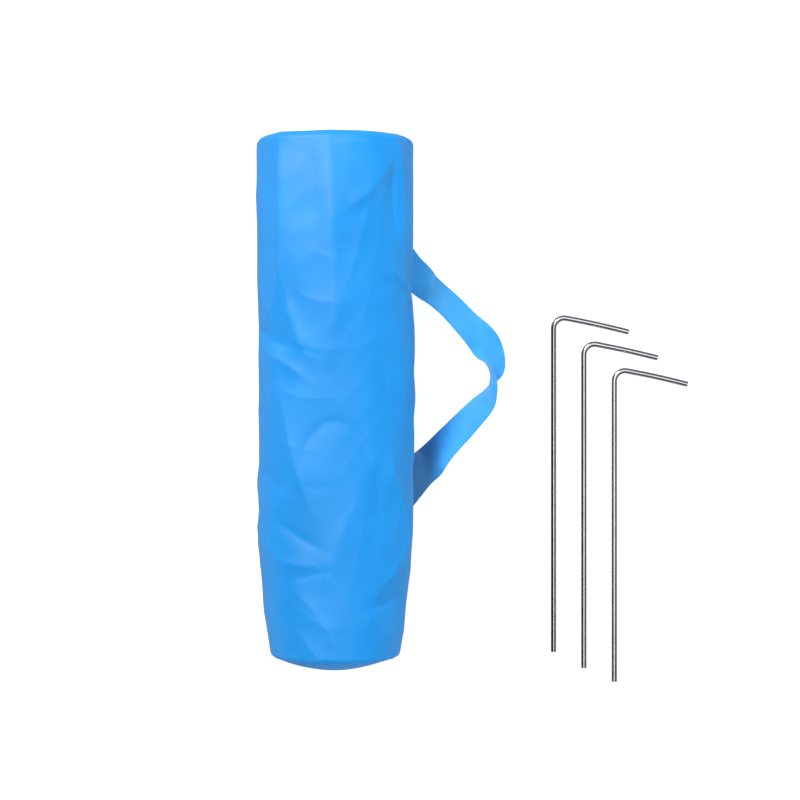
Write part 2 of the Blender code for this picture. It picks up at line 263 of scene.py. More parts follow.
def webbingMaterial(name, look):
    # Height: ribs |sin(u/r)| cut by the weft, whose rows shift half a pitch from rib to rib
    material, tree, shader = newMaterial(name)
    coords = addNode(tree, "ShaderNodeTexCoord")
    uv = addNode(tree, "ShaderNodeSeparateXYZ")
    tree.links.new(coords.outputs["UV"], uv.inputs[0])
    ribs = mathNode(tree, "MULTIPLY", uv.outputs[0], math.pi / look["rib"])
    ribShape = mathNode(tree, "ABSOLUTE", mathNode(tree, "SINE", ribs))
    ribNumber = mathNode(tree, "FLOOR", mathNode(tree, "MULTIPLY", uv.outputs[0], 1 / look["rib"]))
    picks = mathNode(tree, "MULTIPLY", uv.outputs[1], full / look["pick"])
    slanted = mathNode(tree, "ADD", picks, mathNode(tree, "MULTIPLY", ribNumber, math.pi))
    weft = mathNode(tree, "SINE", slanted)
    height = mathNode(tree, "ADD", ribShape, mathNode(tree, "MULTIPLY", weft, 0.45))
    fuzz = noiseNode(tree, coords.outputs["Object"], 900, 3)
    soft = bumpNode(tree, fuzz, 0.25, 0.0003)
    normal = bumpNode(tree, height, look["relief"], 0.00016, soft)
    tree.links.new(normal, shader.inputs["Normal"])
    patches = noiseNode(tree, coords.outputs["Object"], 90, 3)
    # Colour tone: random patches, plus painted shade in the grooves between the ribs, which leaves their
    # crests lighter
    patchesAndGrooveShade = mathNode(tree, "ADD", mathNode(tree, "MULTIPLY", patches, 0.6),
                     mathNode(tree, "MULTIPLY", height, 0.22))
    # Painted shade: the lower end is darker towards its seam, a ramp along X, below the loop's middle only
    place = addNode(tree, "ShaderNodeSeparateXYZ")
    tree.links.new(coords.outputs["Object"], place.inputs[0])
    ramp = addNode(tree, "ShaderNodeMapRange")
    ramp.interpolation_type = "SMOOTHSTEP"
    tree.links.new(place.outputs[0], ramp.inputs["Value"])
    for socket, value in zip(("From Min", "From Max", "To Min", "To Max"), (*look["paintedShadeAt"], 1, 0)):
        ramp.inputs[socket].default_value = value
    below = mathNode(tree, "LESS_THAN", place.outputs[1], 0.0)
    paintedShadeMix = addNode(tree, "ShaderNodeMix")
    paintedShadeMix.data_type = "RGBA"
    tree.links.new(mathNode(tree, "MULTIPLY", ramp.outputs[0], below), paintedShadeMix.inputs[0])
    tree.links.new(mixColours(tree, patchesAndGrooveShade, look["dark"], look["light"]), paintedShadeMix.inputs[6])
    paintedShadeMix.inputs[7].default_value = (*look["root"], 1)
    tree.links.new(paintedShadeMix.outputs[2], shader.inputs["Base Color"])
    tree.links.new(rangeOf(tree, patches, *look["rough"]), shader.inputs["Roughness"])
    shader.inputs["Specular IOR Level"].default_value = 0.4
    shader.inputs["Sheen Weight"].default_value = 0.2
    shader.inputs["Sheen Roughness"].default_value = 0.5
    return material


def metalMaterial(name, dark, light, rough, scratch):
    # Drawn wire: noise stretched along Y for fine drawing lines, and a cloudy plating
    material, tree, shader = newMaterial(name)
    coords = addNode(tree, "ShaderNodeTexCoord")
    stretch = addNode(tree, "ShaderNodeMapping")
    stretch.inputs["Scale"].default_value = (1, 0.03, 1)
    tree.links.new(coords.outputs["Object"], stretch.inputs[0])
    lines = noiseNode(tree, stretch.outputs[0], 2600, 3)
    clouds = noiseNode(tree, coords.outputs["Object"], 140, 4)
    tree.links.new(mixColours(tree, clouds, dark, light), shader.inputs["Base Color"])
    tree.links.new(rangeOf(tree, lines, *rough), shader.inputs["Roughness"])
    tree.links.new(bumpNode(tree, lines, scratch, 0.00004), shader.inputs["Normal"])
    shader.inputs["Metallic"].default_value = 1.0
    return material


def grainMaterial(name, dark, light, rough, scale, stretchAlong):
    # Satin surface with a grain drawn out along Y
    material, tree, shader = newMaterial(name)
    coords = addNode(tree, "ShaderNodeTexCoord")
    stretch = addNode(tree, "ShaderNodeMapping")
    stretch.inputs["Scale"].default_value = (1, stretchAlong, 1)
    tree.links.new(coords.outputs["Object"], stretch.inputs[0])
    grain = noiseNode(tree, stretch.outputs[0], scale, 4)
    tree.links.new(mixColours(tree, grain, dark, light), shader.inputs["Base Color"])
    tree.links.new(rangeOf(tree, grain, *rough), shader.inputs["Roughness"])
    tree.links.new(bumpNode(tree, grain, 0.2, 0.0001), shader.inputs["Normal"])
    return material


bagCloth = clothMaterial("bagCloth", clothLook)
strapWebbing = webbingMaterial("strapWebbing", webbingLook)
bindingTape = clothMaterial("bindingTape", {**clothLook, "thread": 0.0007, "dark": (0.025, 0.26, 0.70),
                                            "light": (0.035, 0.32, 0.82)})
sailCloth = clothMaterial("sailCloth", {**clothLook, "thread": 0.0006, "dark": (0.72, 0.72, 0.70),
                                        "light": (0.83, 0.83, 0.81)})
platedSteel = metalMaterial("platedSteel", (0.70, 0.71, 0.74), (0.86, 0.87, 0.90), (0.12, 0.20), 0.04)
ferruleSteel = metalMaterial("ferruleSteel", (0.48, 0.49, 0.51), (0.60, 0.61, 0.63), (0.28, 0.40), 0.25)
poleFibre = grainMaterial("poleFibre", (0.035, 0.035, 0.038), (0.065, 0.065, 0.07), (0.35, 0.5), 900, 0.02)
print("materials made")

sideLow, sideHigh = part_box("bag_side_wall")
baseLow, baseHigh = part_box("base_panel")

bagShape = {
    "halfWidth": float(sideHigh[0] - sideLow[0]) / 2,
    "height": 0.084,
    "baseRadius": float(baseHigh[2] - baseLow[2]) / 2,
    "baseY": float(sideLow[1]),
    "mouthY": float(sideHigh[1]),
    "taperY": -0.070,          # from here the bag narrows to its base
    "taperPower": 1.88,
    "roundness": 2.3,          # power of the full section, 2 being an ellipse
    "sink": 0.0012,            # how much the underside flattens on the ground
    "shoulder": 0.005,
    "dimple": 0.012,           # depth of the gathered mouth
    "mouthRadius": 0.006,
    "baseCurve": 0.0045,       # rounding of the side into the base
    "baseTurn": 62,            # degrees that this rounding turns through
    "baseStart": 0.0030,       # from the seam to where it begins
    "around": 236,
    "along": 330,
    "seamZ": 0.027,            # height of the side seam
    "seamGap": 0.004,          # half the angle left open there
    "seamTurn": 0.0015,        # cloth turned in at the cut's edges
}


def bagSize(y):
    # Half width, half height, middle and power; the full size minus a share t^p towards the base
    shape = bagShape
    taper = (shape["taperY"] - y) / (shape["taperY"] - shape["baseY"])
    share = np.clip(taper, 0, None) ** shape["taperPower"]
    halfWidth = shape["halfWidth"] + (shape["baseRadius"] - shape["halfWidth"]) * share
    height = shape["height"] + (2 * shape["baseRadius"] - shape["height"]) * share
    halfHeight = (height + shape["sink"] * (1 - share)) / 2
    return halfWidth, halfHeight, height - halfHeight, shape["roundness"] + (2 - shape["roundness"]) * share


def superRing(y, halfWidth, halfHeight, middle, roundness, angle):
    # x = a |cos|^(2/n), z = middle + b |sin|^(2/n): one closed section at each y
    power = (2 / roundness)[:, None]
    cos, sin = np.cos(angle)[None, :], np.sin(angle)[None, :]
    x = np.sign(cos) * np.abs(cos) ** power * halfWidth[:, None]
    z = np.sign(sin) * np.abs(sin) ** power * halfHeight[:, None] + middle[:, None]
    return np.stack([x, np.broadcast_to(y[:, None], x.shape), z], -1)


# Folds on top of the full bag. Each runs along its points; then come its height, minus for a
# valley, and its width to the left and to the right of that direction.
bagFolds = [
    ([(-0.038, 0.190), (-0.037, 0.140), (-0.037, 0.094), (-0.043, 0.062)], 0.0032, 0.0150, 0.0044),
    ([(-0.003, 0.188), (-0.001, 0.120), (0.000, 0.060), (-0.008, 0.010)], 0.0030, 0.0180, 0.0180),
    ([(-0.018, 0.180), (-0.014, 0.150), (-0.016, 0.110)], -0.0008, 0.0100, 0.0100),
    ([(0.008, 0.128), (0.026, 0.144), (0.041, 0.166)], 0.0022, 0.0150, 0.0065),
    ([(0.018, 0.180), (0.034, 0.168), (0.038, 0.158)], 0.0007, 0.0040, 0.0060),
    ([(0.000, 0.175), (0.024, 0.176), (0.048, 0.174)], 0.0009, 0.0045, 0.0070),
    ([(0.041, 0.168), (0.041, 0.140), (0.044, 0.108)], -0.0018, 0.0035, 0.0080),
    ([(0.042, 0.186), (0.048, 0.158), (0.051, 0.120), (0.050, 0.096)], 0.0014, 0.0030, 0.0060),
    ([(-0.055, 0.050), (-0.044, 0.040), (-0.028, 0.034)], -0.0022, 0.0130, 0.0042),
    ([(-0.054, 0.030), (-0.038, 0.026), (-0.018, 0.012)], 0.0011, 0.0060, 0.0070),
    ([(-0.036, 0.070), (-0.029, 0.048), (-0.018, 0.028)], 0.0015, 0.0100, 0.0042),
    ([(-0.046, 0.022), (-0.036, -0.008), (-0.027, -0.046), (-0.014, -0.082)], 0.0019, 0.0100, 0.0065),
    ([(-0.024, -0.050), (-0.016, -0.027), (0.000, -0.016), (0.016, -0.025), (0.027, -0.050)],
     -0.0012, 0.0060, 0.0130),
    ([(-0.052, -0.046), (-0.042, -0.058), (-0.030, -0.066)], -0.0012, 0.0085, 0.0050),
    ([(-0.022, -0.060), (-0.010, -0.063), (0.000, -0.060)], -0.0004, 0.0060, 0.0060),
    ([(-0.046, -0.080), (-0.028, -0.094), (-0.006, -0.106)], -0.0011, 0.0080, 0.0060),
    ([(-0.054, -0.094), (-0.036, -0.113), (-0.008, -0.117)], 0.0009, 0.0065, 0.0060),
    ([(-0.028, -0.126), (-0.014, -0.122), (0.000, -0.120)], -0.0008, 0.0055, 0.0045),
    ([(0.026, -0.054), (0.013, -0.078), (0.001, -0.106), (-0.006, -0.140)], 0.0016, 0.0170, 0.0100),
    ([(0.034, -0.040), (0.030, -0.066), (0.034, -0.098)], -0.0009, 0.0070, 0.0110),
    ([(0.039, -0.028), (0.0415, -0.054), (0.050, -0.080), (0.0505, -0.100), (0.043, -0.120),
      (0.030, -0.136)], 0.0020, 0.0028, 0.0036),
    ([(0.024, -0.146), (0.038, -0.143), (0.051, -0.136)], -0.0015, 0.0080, 0.0042),
    ([(0.018, -0.146), (0.032, -0.158), (0.046, -0.176)], 0.0012, 0.0070, 0.0100),
    ([(0.051, 0.066), (0.0515, 0.030), (0.050, -0.016)], 0.0012, 0.0030, 0.0065),
    ([(0.040, 0.040), (0.036, 0.010), (0.040, -0.026)], -0.0010, 0.0060, 0.0100),
    ([(0.036, 0.092), (0.045, 0.083), (0.052, 0.074)], 0.0014, 0.0035, 0.0035),
    ([(0.030, 0.084), (0.042, 0.074), (0.050, 0.066)], -0.0009, 0.0060, 0.0050),
    ([(0.004, 0.062), (0.018, 0.078), (0.030, 0.104)], 0.0008, 0.0120, 0.0120),
    ([(-0.030, -0.140), (-0.010, -0.156), (0.016, -0.160)], 0.0008, 0.0100, 0.0100),
]

bagCreases = {
    "placed": 1.55,            # scale of the placed folds
    "small": 0.00046,          # height of the fine creases all over
    "broad": 0.00060,          # height of the slow swells
    "ease": 0.00010,           # puckers where cloth is eased into the base seam
    "lift": 0.0004,            # all of the cloth stands this far out
    "valleyStop": (0.0016, 0.0010),
    "pleats": 27,              # gathers round the mouth
    "pleatHeight": 0.0021,
    "upperDent": 0.0036,       # how far the strap's upper end pulls the side in
    "lowerDent": 0.00108,
}


def foldHeight(x, y, line, height, leftWidth, rightWidth):
    # height * exp(-1.25 |d| / width) at distance d from the line, fading towards both its ends
    line = catmullRom(line, 5)
    step = np.diff(line, axis=0)
    length = np.hypot(step[:, 0], step[:, 1])
    reach = 5 * max(leftWidth, rightWidth)
    near = ((x > line[:, 0].min() - reach) & (x < line[:, 0].max() + reach)
            & (y > line[:, 1].min() - reach) & (y < line[:, 1].max() + reach))
    px, py = x[near][:, None] - line[:-1, 0], y[near][:, None] - line[:-1, 1]
    t = np.clip((px * step[:, 0] + py * step[:, 1]) / length ** 2, 0, 1)
    away = np.hypot(px - t * step[:, 0], py - t * step[:, 1])
    best = away.argmin(axis=1)
    row = np.arange(len(best))
    d = away[row, best]
    side = step[best, 0] * py[row, best] - step[best, 1] * px[row, best]
    gone = (np.concatenate([[0], np.cumsum(length)])[best] + t[row, best] * length[best]) / length.sum()
    width = np.where(side > 0, leftWidth, rightWidth)
    ends = (0.25 + 0.75 * smoothStep(0, 0.3, gone)) * (0.25 + 0.75 * smoothStep(0, 0.3, 1 - gone))
    result = np.zeros(x.shape)
    result[near] = height * np.exp(-1.25 * np.sqrt((d / width) ** 2 + 0.015)) * ends
    return result


def bagRelief(points, angle, y):
    # Sum of the placed folds on the upper side, ridged waves for fine creases, and slow swells
    x, z = points[..., 0], points[..., 2]
    upper = smoothStep(0.032, 0.060, z)
    relief = np.zeros(x.shape)
    for fold in bagFolds:
        relief += foldHeight(x, y, *fold)
    relief *= upper * bagCreases["placed"]
    warp = waves(angle, y, 11, 5, (1, 4), (8, 30)) * 0.7
    for seed, k, q, share in ((21, 3, 46, 1.0), (22, -5, 64, 0.8), (23, 7, 31, 0.6), (24, -2, 95, 0.7),
                              (25, 9, 150, 0.25)):
        line = np.sin(k * angle + q * y + warp * (1.5 + seed % 3))
        patch = smoothStep(-0.1, 1.3, waves(angle, y, seed, 4, (1, 4), (6, 34)))
        relief += bagCreases["small"] * share * patch * (1 - 2 * np.abs(line) ** 0.7)
    relief += bagCreases["broad"] * waves(angle, y, 31, 6, (1, 3), (5, 26))
    nearBase = np.exp(-(y - bagShape["baseY"]) / 0.016)
    puckers = waves(angle, y * 0, 41, 7, (24, 44), (0, 1))
    relief += bagCreases["ease"] * nearBase * puckers + bagCreases["lift"]
    # The roll inside stops every valley: beyond -d1 it levels off as tanh towards -(d1 + d2)
    first, more = bagCreases["valleyStop"]
    return np.where(relief < -first, -first - more * np.tanh((-first - relief) / more), relief)


def makeBagWall():
    # One grid: the tube's sections, a quarter circle over the shoulder, and gathers whose sections
    # shrink evenly to the mouth's circle while they sink by 3t^2 - 2t^3. Relief goes along its normals
    shape = bagShape
    start = shape["mouthY"] - shape["shoulder"]
    body = np.linspace(shape["baseY"] + shape["baseStart"], start, shape["along"])
    halfWidth, halfHeight, middle, roundness = bagSize(body)
    # The cut starts and ends at the side seam, where its two edges turn in
    seamShare = (middle[-1] - shape["seamZ"]) / halfHeight[-1]
    fromSeam = -math.asin(seamShare ** (shape["roundness"] / 2))
    angle = fromSeam + np.linspace(shape["seamGap"], full - shape["seamGap"], shape["around"])
    wall = superRing(body, halfWidth, halfHeight, middle, roundness, angle)
    turn = np.linspace(0, math.pi / 2, 26)[1:]
    shoulderY = start + shape["shoulder"] * np.sin(turn)
    inset = shape["shoulder"] * (1 - np.cos(turn))
    top = [part[-1] for part in (halfWidth, halfHeight, middle, roundness)]
    shoulder = superRing(shoulderY, top[0] - inset, top[1] - inset,
                         np.full(len(turn), top[2]), np.full(len(turn), top[3]), angle)
    share = np.linspace(0, 1, 62)[1:]
    dip = shape["dimple"] * share ** 2 * (3 - 2 * share)
    endWidth, endHeight = top[0] - shape["shoulder"], top[1] - shape["shoulder"]
    gathers = superRing(shape["mouthY"] - dip, endWidth + (shape["mouthRadius"] - endWidth) * share,
                        endHeight + (shape["mouthRadius"] - endHeight) * share,
                        np.full(len(share), top[2]), top[3] + (2 - top[3]) * share, angle)
    points = np.concatenate([wall, shoulder, gathers])
    u = np.broadcast_to(angle, points.shape[:2])
    yFlat = np.concatenate([body, np.full(len(turn) + len(share), start)])[:, None]
    away = np.concatenate([np.zeros(shape["along"]), np.linspace(0, 1, len(turn)),
                           1 + share * 2.5])[:, None]
    normal = normalsOf(points)
    relief = bagRelief(points, u, np.broadcast_to(yFlat, points.shape[:2])) * np.exp(-away * 0.9)

    # Pleats: |sin| ridges, uneven round the mouth, growing from the shoulder to the hole
    uneven = u + 0.10 * waves(u, yFlat * 0, 51, 4, (2, 6), (0, 1))
    ridge = np.abs(np.sin(uneven * bagCreases["pleats"] / 2)) ** 0.8 - 0.55
    strength = 0.6 + 0.4 * waves(u, yFlat * 0, 52, 5, (2, 9), (0, 1))
    growth = np.concatenate([0 * body, 0 * turn, np.sin(share * math.pi * 0.72)])[:, None]
    pleats = bagCreases["pleatHeight"] * growth * strength * ridge
    points = points + normal * (relief + pleats)[..., None]

    # The strap's roots pull the side in where the webbing enters the seam: a bell in y times one in z
    side = smoothStep(0.030, 0.052, points[..., 0])
    for root, depth in ((strapRootY["upper"] - 0.011, bagCreases["upperDent"]),
                        (strapRootY["lower"] + 0.009, bagCreases["lowerDent"])):
        bellY = np.exp(-((points[..., 1] - root) / 0.0085) ** 2)
        bellZ = np.exp(-((points[..., 2] - 0.036) / 0.016) ** 2)
        points[..., 0] -= depth * (bellY * bellZ) * side

    # Seam: a low pinched ridge along the side, in a shallow trough
    x, y, off = points[..., 0], points[..., 1], points[..., 2] - shape["seamZ"]
    seam = smoothStep(0.036, 0.048, x) * smoothStep(-0.165, -0.150, y) * smoothStep(-0.168, -0.150, -y)
    points[..., 0] += seam * (0.0010 * np.exp(-(off / 0.0009) ** 2)
                              - 0.0006 * np.exp(-(off / 0.0040) ** 2))

    # The end of the wall rounds over towards the base, then its seam allowance turns in
    low = points[0]
    centre = np.array([0, 0, shape["baseRadius"]])
    bend = np.linspace(math.radians(shape["baseTurn"]), 0, 14)[:-1]
    drawn = np.concatenate([[shape["baseCurve"] * 0.9] * 2, shape["baseCurve"] * (1 - np.cos(bend))])
    back = np.concatenate([[-0.0030, 0.0006], shape["baseCurve"] * np.sin(bend)])
    rim = (low - centre)[None] * (1 - drawn / shape["baseRadius"])[:, None, None] + centre
    rim[..., 1] = shape["baseY"] + shape["baseStart"] - back[:, None]
    points = np.concatenate([rim, points])
    points[..., 2] = np.maximum(points[..., 2], floorGap)
    inward = (points[:, [0, -1]] - np.array([0, 0, middle[-1]])) * (1, 0, 1)
    inward = -inward / np.maximum(np.linalg.norm(inward, axis=2, keepdims=True), 1e-9)
    turned = points[:, [0, -1]] + inward * shape["seamTurn"]
    points = np.concatenate([turned[:, :1], points, turned[:, 1:]], axis=1)

    length = np.concatenate([[0], np.cumsum(np.linalg.norm(np.diff(points[:, 9], axis=0), axis=1))])
    girth = np.linspace(0, full * 0.049, points.shape[1])
    uv = np.stack(np.broadcast_arrays(girth[None, :], length[:, None]), -1)
    bag = surface("bagSideWall", points, uv, wrapU=False, flip=True)
    finishPiece(bag, bagCloth, "bag", "bag_cloth", "bag_side_wall")
    return bag


def makeBasePanel():
    # Dome: y = -bulge (1 - r^2.2) behind the seam, with puckers at the rim and soft dents
    shape = bagShape
    around, rings = 200, 46
    angle = np.arange(around) * full / around
    turn = math.radians(shape["baseTurn"])
    edge = shape["baseRadius"] - shape["baseCurve"] * (1 - math.cos(turn)) - 0.0002
    edgeY = shape["baseY"] + shape["baseStart"] - shape["baseCurve"] * math.sin(turn)
    radius = np.concatenate([[0.965, 0.990, 1.0], np.linspace(0.995, 0.03, rings)])
    bulge = edgeY - float(baseLow[1]) - 0.0008
    y = edgeY - bulge * (1 - np.minimum(radius, 1) ** 2.2)
    y[:3] = edgeY + np.array([0.0030, 0.0012, 0.0002])
    r = edge * radius
    x = r[:, None] * np.cos(angle)
    z = shape["baseRadius"] + r[:, None] * np.sin(angle)
    depth = np.broadcast_to(y[:, None], x.shape).copy()
    inner = smoothStep(1.0, 0.8, radius)[:, None]
    depth += 0.0006 * inner * waves(x * 60, z * 60, 61, 6, (0.4, 2.2), (0.4, 2.2), wholeU=False)
    rim = np.exp(-((1 - radius) / 0.07))[:, None] * (radius < 0.996)[:, None]
    depth += 0.0005 * rim * waves(angle[None, :], r[:, None] * 0, 41, 7, (24, 44), (0, 1))
    points = np.stack([x, depth, np.maximum(z, floorGap)], -1)
    uv = points[:, list(range(around)) + [0]][..., [0, 2]]
    panel = surface("basePanel", points, uv, flip=False, capEnd=True)
    finishPiece(panel, bagCloth, "bag", "bag_cloth", "base_panel")
    return panel


def makeMouth():
    # Bunched crown: a thick ring whose wall waves in and out with the pleats that run into it
    low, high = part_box("mouth_hem")
    middle = (low[2] + high[2]) / 2
    outer = float(high[0] - low[0]) / 2
    around, aroundRoll = 270, 36
    angle = np.arange(around) * full / around
    roll = np.arange(aroundRoll) * full / aroundRoll
    height = float(high[1] - low[1])
    inner = 0.0018
    wall = (outer - inner) / 2
    a, b = np.meshgrid(roll, angle, indexing="ij")
    bunch = np.abs(np.sin(b * 9 + 0.5 * np.sin(3 * b))) ** 0.7
    r = (outer + inner) / 2 + wall * np.cos(a) * (0.82 + 0.22 * bunch)
    lift = np.sign(np.sin(a)) * np.abs(np.sin(a)) ** 0.6
    y = float(low[1]) + height / 2 + height / 2 * lift * (0.93 + 0.10 * np.sin(5 * b + 1) * (lift > 0))
    r = r + 0.0004 * waves(b, a * 0, 71, 5, (5, 14), (0, 1))
    y = np.maximum(y, float(low[1]) - 0.0004)
    points = np.stack([r * np.cos(b), y, middle + r * np.sin(b)], -1)
    uv = np.stack(np.meshgrid(np.linspace(0, 0.03, aroundRoll + 1), np.linspace(0, 0.05, around + 1),
                              indexing="ij"), -1)
    hem = surface("mouthHem", points, uv, wrapV=True, flip=True)
    finishPiece(hem, bagCloth, "bag", "bag_cloth", "mouth_hem")

    # Eyelet: a rolled ring, its section a flattened circle
    eyeLow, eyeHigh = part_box("drawcord_eyelet")
    cx, cy = (eyeLow[0] + eyeHigh[0]) / 2, (eyeLow[1] + eyeHigh[1]) / 2
    a, b = np.meshgrid(np.arange(16) * full / 16, np.arange(48) * full / 48, indexing="ij")
    r = 0.0028 + 0.0008 * np.cos(a)
    z = (eyeLow[2] + eyeHigh[2]) / 2 + 0.00045 * np.sin(a)
    points = np.stack([cx + r * np.cos(b), cy + r * np.sin(b), z], -1)
    eyelet = surface("drawcordEyelet", points, wrapV=True, flip=True)
    finishPiece(eyelet, platedSteel, "bag", "plated_steel", "drawcord_eyelet")


strapShape = {
    "width": 0.025,
    "thickness": 0.0014,
    "slope": math.radians(34),  # lean of the seam's plane, along which the ends are cut
    "fold": 0.009,             # distance from the seam over which the lean becomes free
    "cup": math.radians(38),   # how far each edge curls round where the webbing twists
    "sewnIn": 0.003,           # webbing that shows inside the seam where it pulls the side in
    "columns": 44,
    "rows": 320,
    # Middle of the webbing: x, y, z and the lean of its face, with the outer edge lower
    "route": [
        (0.0480, 0.0990, 0.0314, 26),
        (0.0545, 0.0912, 0.0270, 27),
        (0.0640, 0.0826, 0.0208, 32),
        (0.0746, 0.0741, 0.0150, 39),
        (0.0860, 0.0636, 0.0107, 40),
        (0.0966, 0.0530, 0.0085, 35),
        (0.1050, 0.0440, 0.0062, 24),
        (0.1100, 0.0365, 0.0062, 22),
        (0.1135, 0.0270, 0.0092, 41),
        (0.1140, 0.0180, 0.0126, 68),
        (0.1130, 0.0098, 0.0133, 96),
        (0.1095, -0.0006, 0.0122, 119),
        (0.1035, -0.0082, 0.0108, 131),
        (0.0940, -0.0185, 0.0100, 138),
        (0.0819, -0.0310, 0.0112, 142),
        (0.0700, -0.0437, 0.0168, 155),
        (0.0620, -0.0530, 0.0221, 195),
        (0.0545, -0.0620, 0.0270, 207),
        (0.0480, -0.0698, 0.0314, 206),
    ],
}

strapJoint = next(joint for joint in frame["record"]["behaviour"]["joints"]
                  if joint["name"] == "strap_swing")
hinge = np.array(strapJoint["pos_m"], float)


def strapFrames():
    # Middle, across and face directions along the route; across leans down towards the outer edge
    shape = strapShape
    curve = catmullRom(shape["route"], 24)
    middle, lean = curve[:, :3].copy(), np.radians(curve[:, 3])
    along = np.gradient(middle, axis=0)
    along /= np.linalg.norm(along, axis=1, keepdims=True)
    level = -np.cross(along, (0, 0, 1.0))
    level /= np.linalg.norm(level, axis=1, keepdims=True)
    rise = np.cross(along, level)
    rise *= np.sign(rise[:, 2:])
    leaning = level * np.cos(lean)[:, None] - rise * np.sin(lean)[:, None]
    folded = np.cross(along, (math.sin(shape["slope"]), 0, math.cos(shape["slope"])))
    folded *= np.sign(np.sum(folded * leaning, axis=1, keepdims=True))
    free = np.clip((middle[:, :1] - hinge[0]) / shape["fold"] - 0.5, 0, 1)
    across = folded * (1 - free) + leaning * free
    across -= along * np.sum(across * along, axis=1, keepdims=True)
    across /= np.linalg.norm(across, axis=1, keepdims=True)
    return middle, across, np.cross(along, across)


strapMiddle, strapAcross, strapFace = strapFrames()
outside = np.where(strapMiddle[:, 0] > hinge[0])[0]
strapRootY = {"upper": strapMiddle[outside[0], 1], "lower": strapMiddle[outside[-1], 1]}


def makeStrap():
    # Each lengthwise line runs from the seam back to the seam, so the ends are cut along it
    shape = strapShape
    half, thick = shape["width"] / 2, shape["thickness"] / 2
    flat = np.linspace(-half + thick, half - thick, shape["columns"])
    turn = np.linspace(-math.pi / 2, math.pi / 2, 8)[1:-1]
    edgeU, edgeF = half - thick + thick * np.cos(turn), thick * np.sin(turn)
    u = np.concatenate([flat, edgeU, flat[::-1], -edgeU])
    f = np.concatenate([np.full(len(flat), -thick), edgeF, np.full(len(flat), thick), edgeF[::-1]])
    plane = np.array([math.cos(shape["slope"]), 0, -math.sin(shape["slope"])])
    # Cupped section: u turns into sin(k u) / k across and (1 - cos(k u)) / k along the face
    atTwist = np.exp(-((strapMiddle[:, 1] - 0.012) / 0.014) ** 2) * (strapMiddle[:, 0] > 0.09)
    k = (shape["cup"] * atTwist / half + 1e-4)[:, None]
    flatU, cupF = np.sin(k * u) / k, (1 - np.cos(k * u)) / k
    cupF = cupF - cupF.mean(axis=1, keepdims=True)
    level = flatU - f * np.sin(k * u)
    raised = cupF + f * np.cos(k * u)
    lines = (strapMiddle[:, None] + strapAcross[:, None] * level[..., None]
             + strapFace[:, None] * raised[..., None])
    beyond = (lines - hinge) @ plane + shape["sewnIn"]
    t = np.arange(len(lines), dtype=float)
    share = np.linspace(0, 1, shape["rows"])
    points = np.empty((shape["rows"], len(u), 3))
    middleRow = len(t) // 2
    for column in range(len(u)):
        first = np.interp(0, beyond[:middleRow // 2, column], t[:middleRow // 2])
        last = np.interp(0, beyond[-(middleRow // 2):, column][::-1], t[-(middleRow // 2):][::-1])
        where = first + (last - first) * share
        for axis in range(3):
            points[:, column, axis] = np.interp(where, t, lines[:, column, axis])
    # Soft webbing: slow ripples of its face, none at the seam
    ripple = waves(share[:, None] * full, (u / half)[None, :], 81, 6, (2, 9), (0.3, 1.4), wholeU=False)
    free = smoothStep(0, 0.12, share)[:, None] * smoothStep(0, 0.12, 1 - share)[:, None]
    faceAt = np.stack([np.interp(share * (len(t) - 1), t, strapFace[:, i]) for i in range(3)], -1)
    points += faceAt[:, None] * (ripple * free * 0.00035)[..., None]
    points[..., 2] = np.maximum(points[..., 2], floorGap)
    lengths = np.concatenate([[0], np.cumsum(np.linalg.norm(np.diff(points[:, 0], axis=0), axis=1))])
    uv = np.stack(np.broadcast_arrays(np.append(u, u[0])[None, :], lengths[:, None]), -1)
    strap = surface("strapWebbing", points, uv, flip=False, capStart=True, capEnd=True)
    finishPiece(strap, strapWebbing, "strap", "strap_webbing", "strap_webbing")
    return strap


pegShape = {
    "bend": 0.0080,            # radius of the bend's middle line
    "hookSlope": math.radians(12.5),
    "around": 32,
    "chamfer": 0.00025,
}


def makePeg(number):
    # Wire: circles r (cos, sin) across a path of straight shaft, round bend and slightly bowed hook;
    # a chamfer closes each cut end
    node = f"ground_peg_{number}"
    low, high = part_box(node)
    shape = pegShape
    radius = float(high[2] - low[2]) / 2 * 1.04
    x0 = float(low[0]) + radius
    top, foot, tip = float(high[1]) - radius, float(low[1]), float(high[0])
    angle = np.linspace(0, math.pi / 2 + shape["hookSlope"], 30)
    bendY = top - shape["bend"]
    shaft = np.stack([np.full(60, x0), np.linspace(foot, bendY, 60)], -1)
    bend = np.stack([x0 + shape["bend"] * (1 - np.cos(angle)), bendY + shape["bend"] * np.sin(angle)], -1)
    reach = tip - radius * math.sin(shape["hookSlope"]) - bend[-1, 0]
    out = np.linspace(0, reach, 24)[1:, None]
    sag = np.tan(shape["hookSlope"]) * out + 0.0004 * np.sin(math.pi * out / reach)
    hook = bend[-1] + np.concatenate([out, -sag + 0.0008 * np.sin(math.pi * out / reach)], 1)
    path = np.concatenate([shaft, bend[1:], hook])
    along = np.gradient(path, axis=0)
    along /= np.linalg.norm(along, axis=1, keepdims=True)
    side = np.stack([along[:, 1], -along[:, 0]], -1)
    chamfer = shape["chamfer"]
    path = np.concatenate([path[:1], path[:1] + along[:1] * chamfer, path[1:-1],
                           path[-1:] - along[-1:] * chamfer, path[-1:]])
    side = np.concatenate([side[:1], side[:1], side[1:-1], side[-1:], side[-1:]])
    size = np.full(len(path), radius)
    size[[0, -1]] -= chamfer
    turn = np.arange(shape["around"]) * full / shape["around"]
    points = np.empty((len(path), shape["around"], 3))
    points[..., :2] = path[:, None] + side[:, None] * (size[:, None] * np.cos(turn))[..., None]
    points[..., 2] = radius + size[:, None] * np.sin(turn)
    peg = surface(f"groundPeg{number}", points, flip=True, capStart=True, capEnd=True)
    peg.data.set_sharp_from_angle(angle=math.radians(30))
    finishPiece(peg, platedSteel, f"peg_{number}", "plated_steel", node)
    return peg


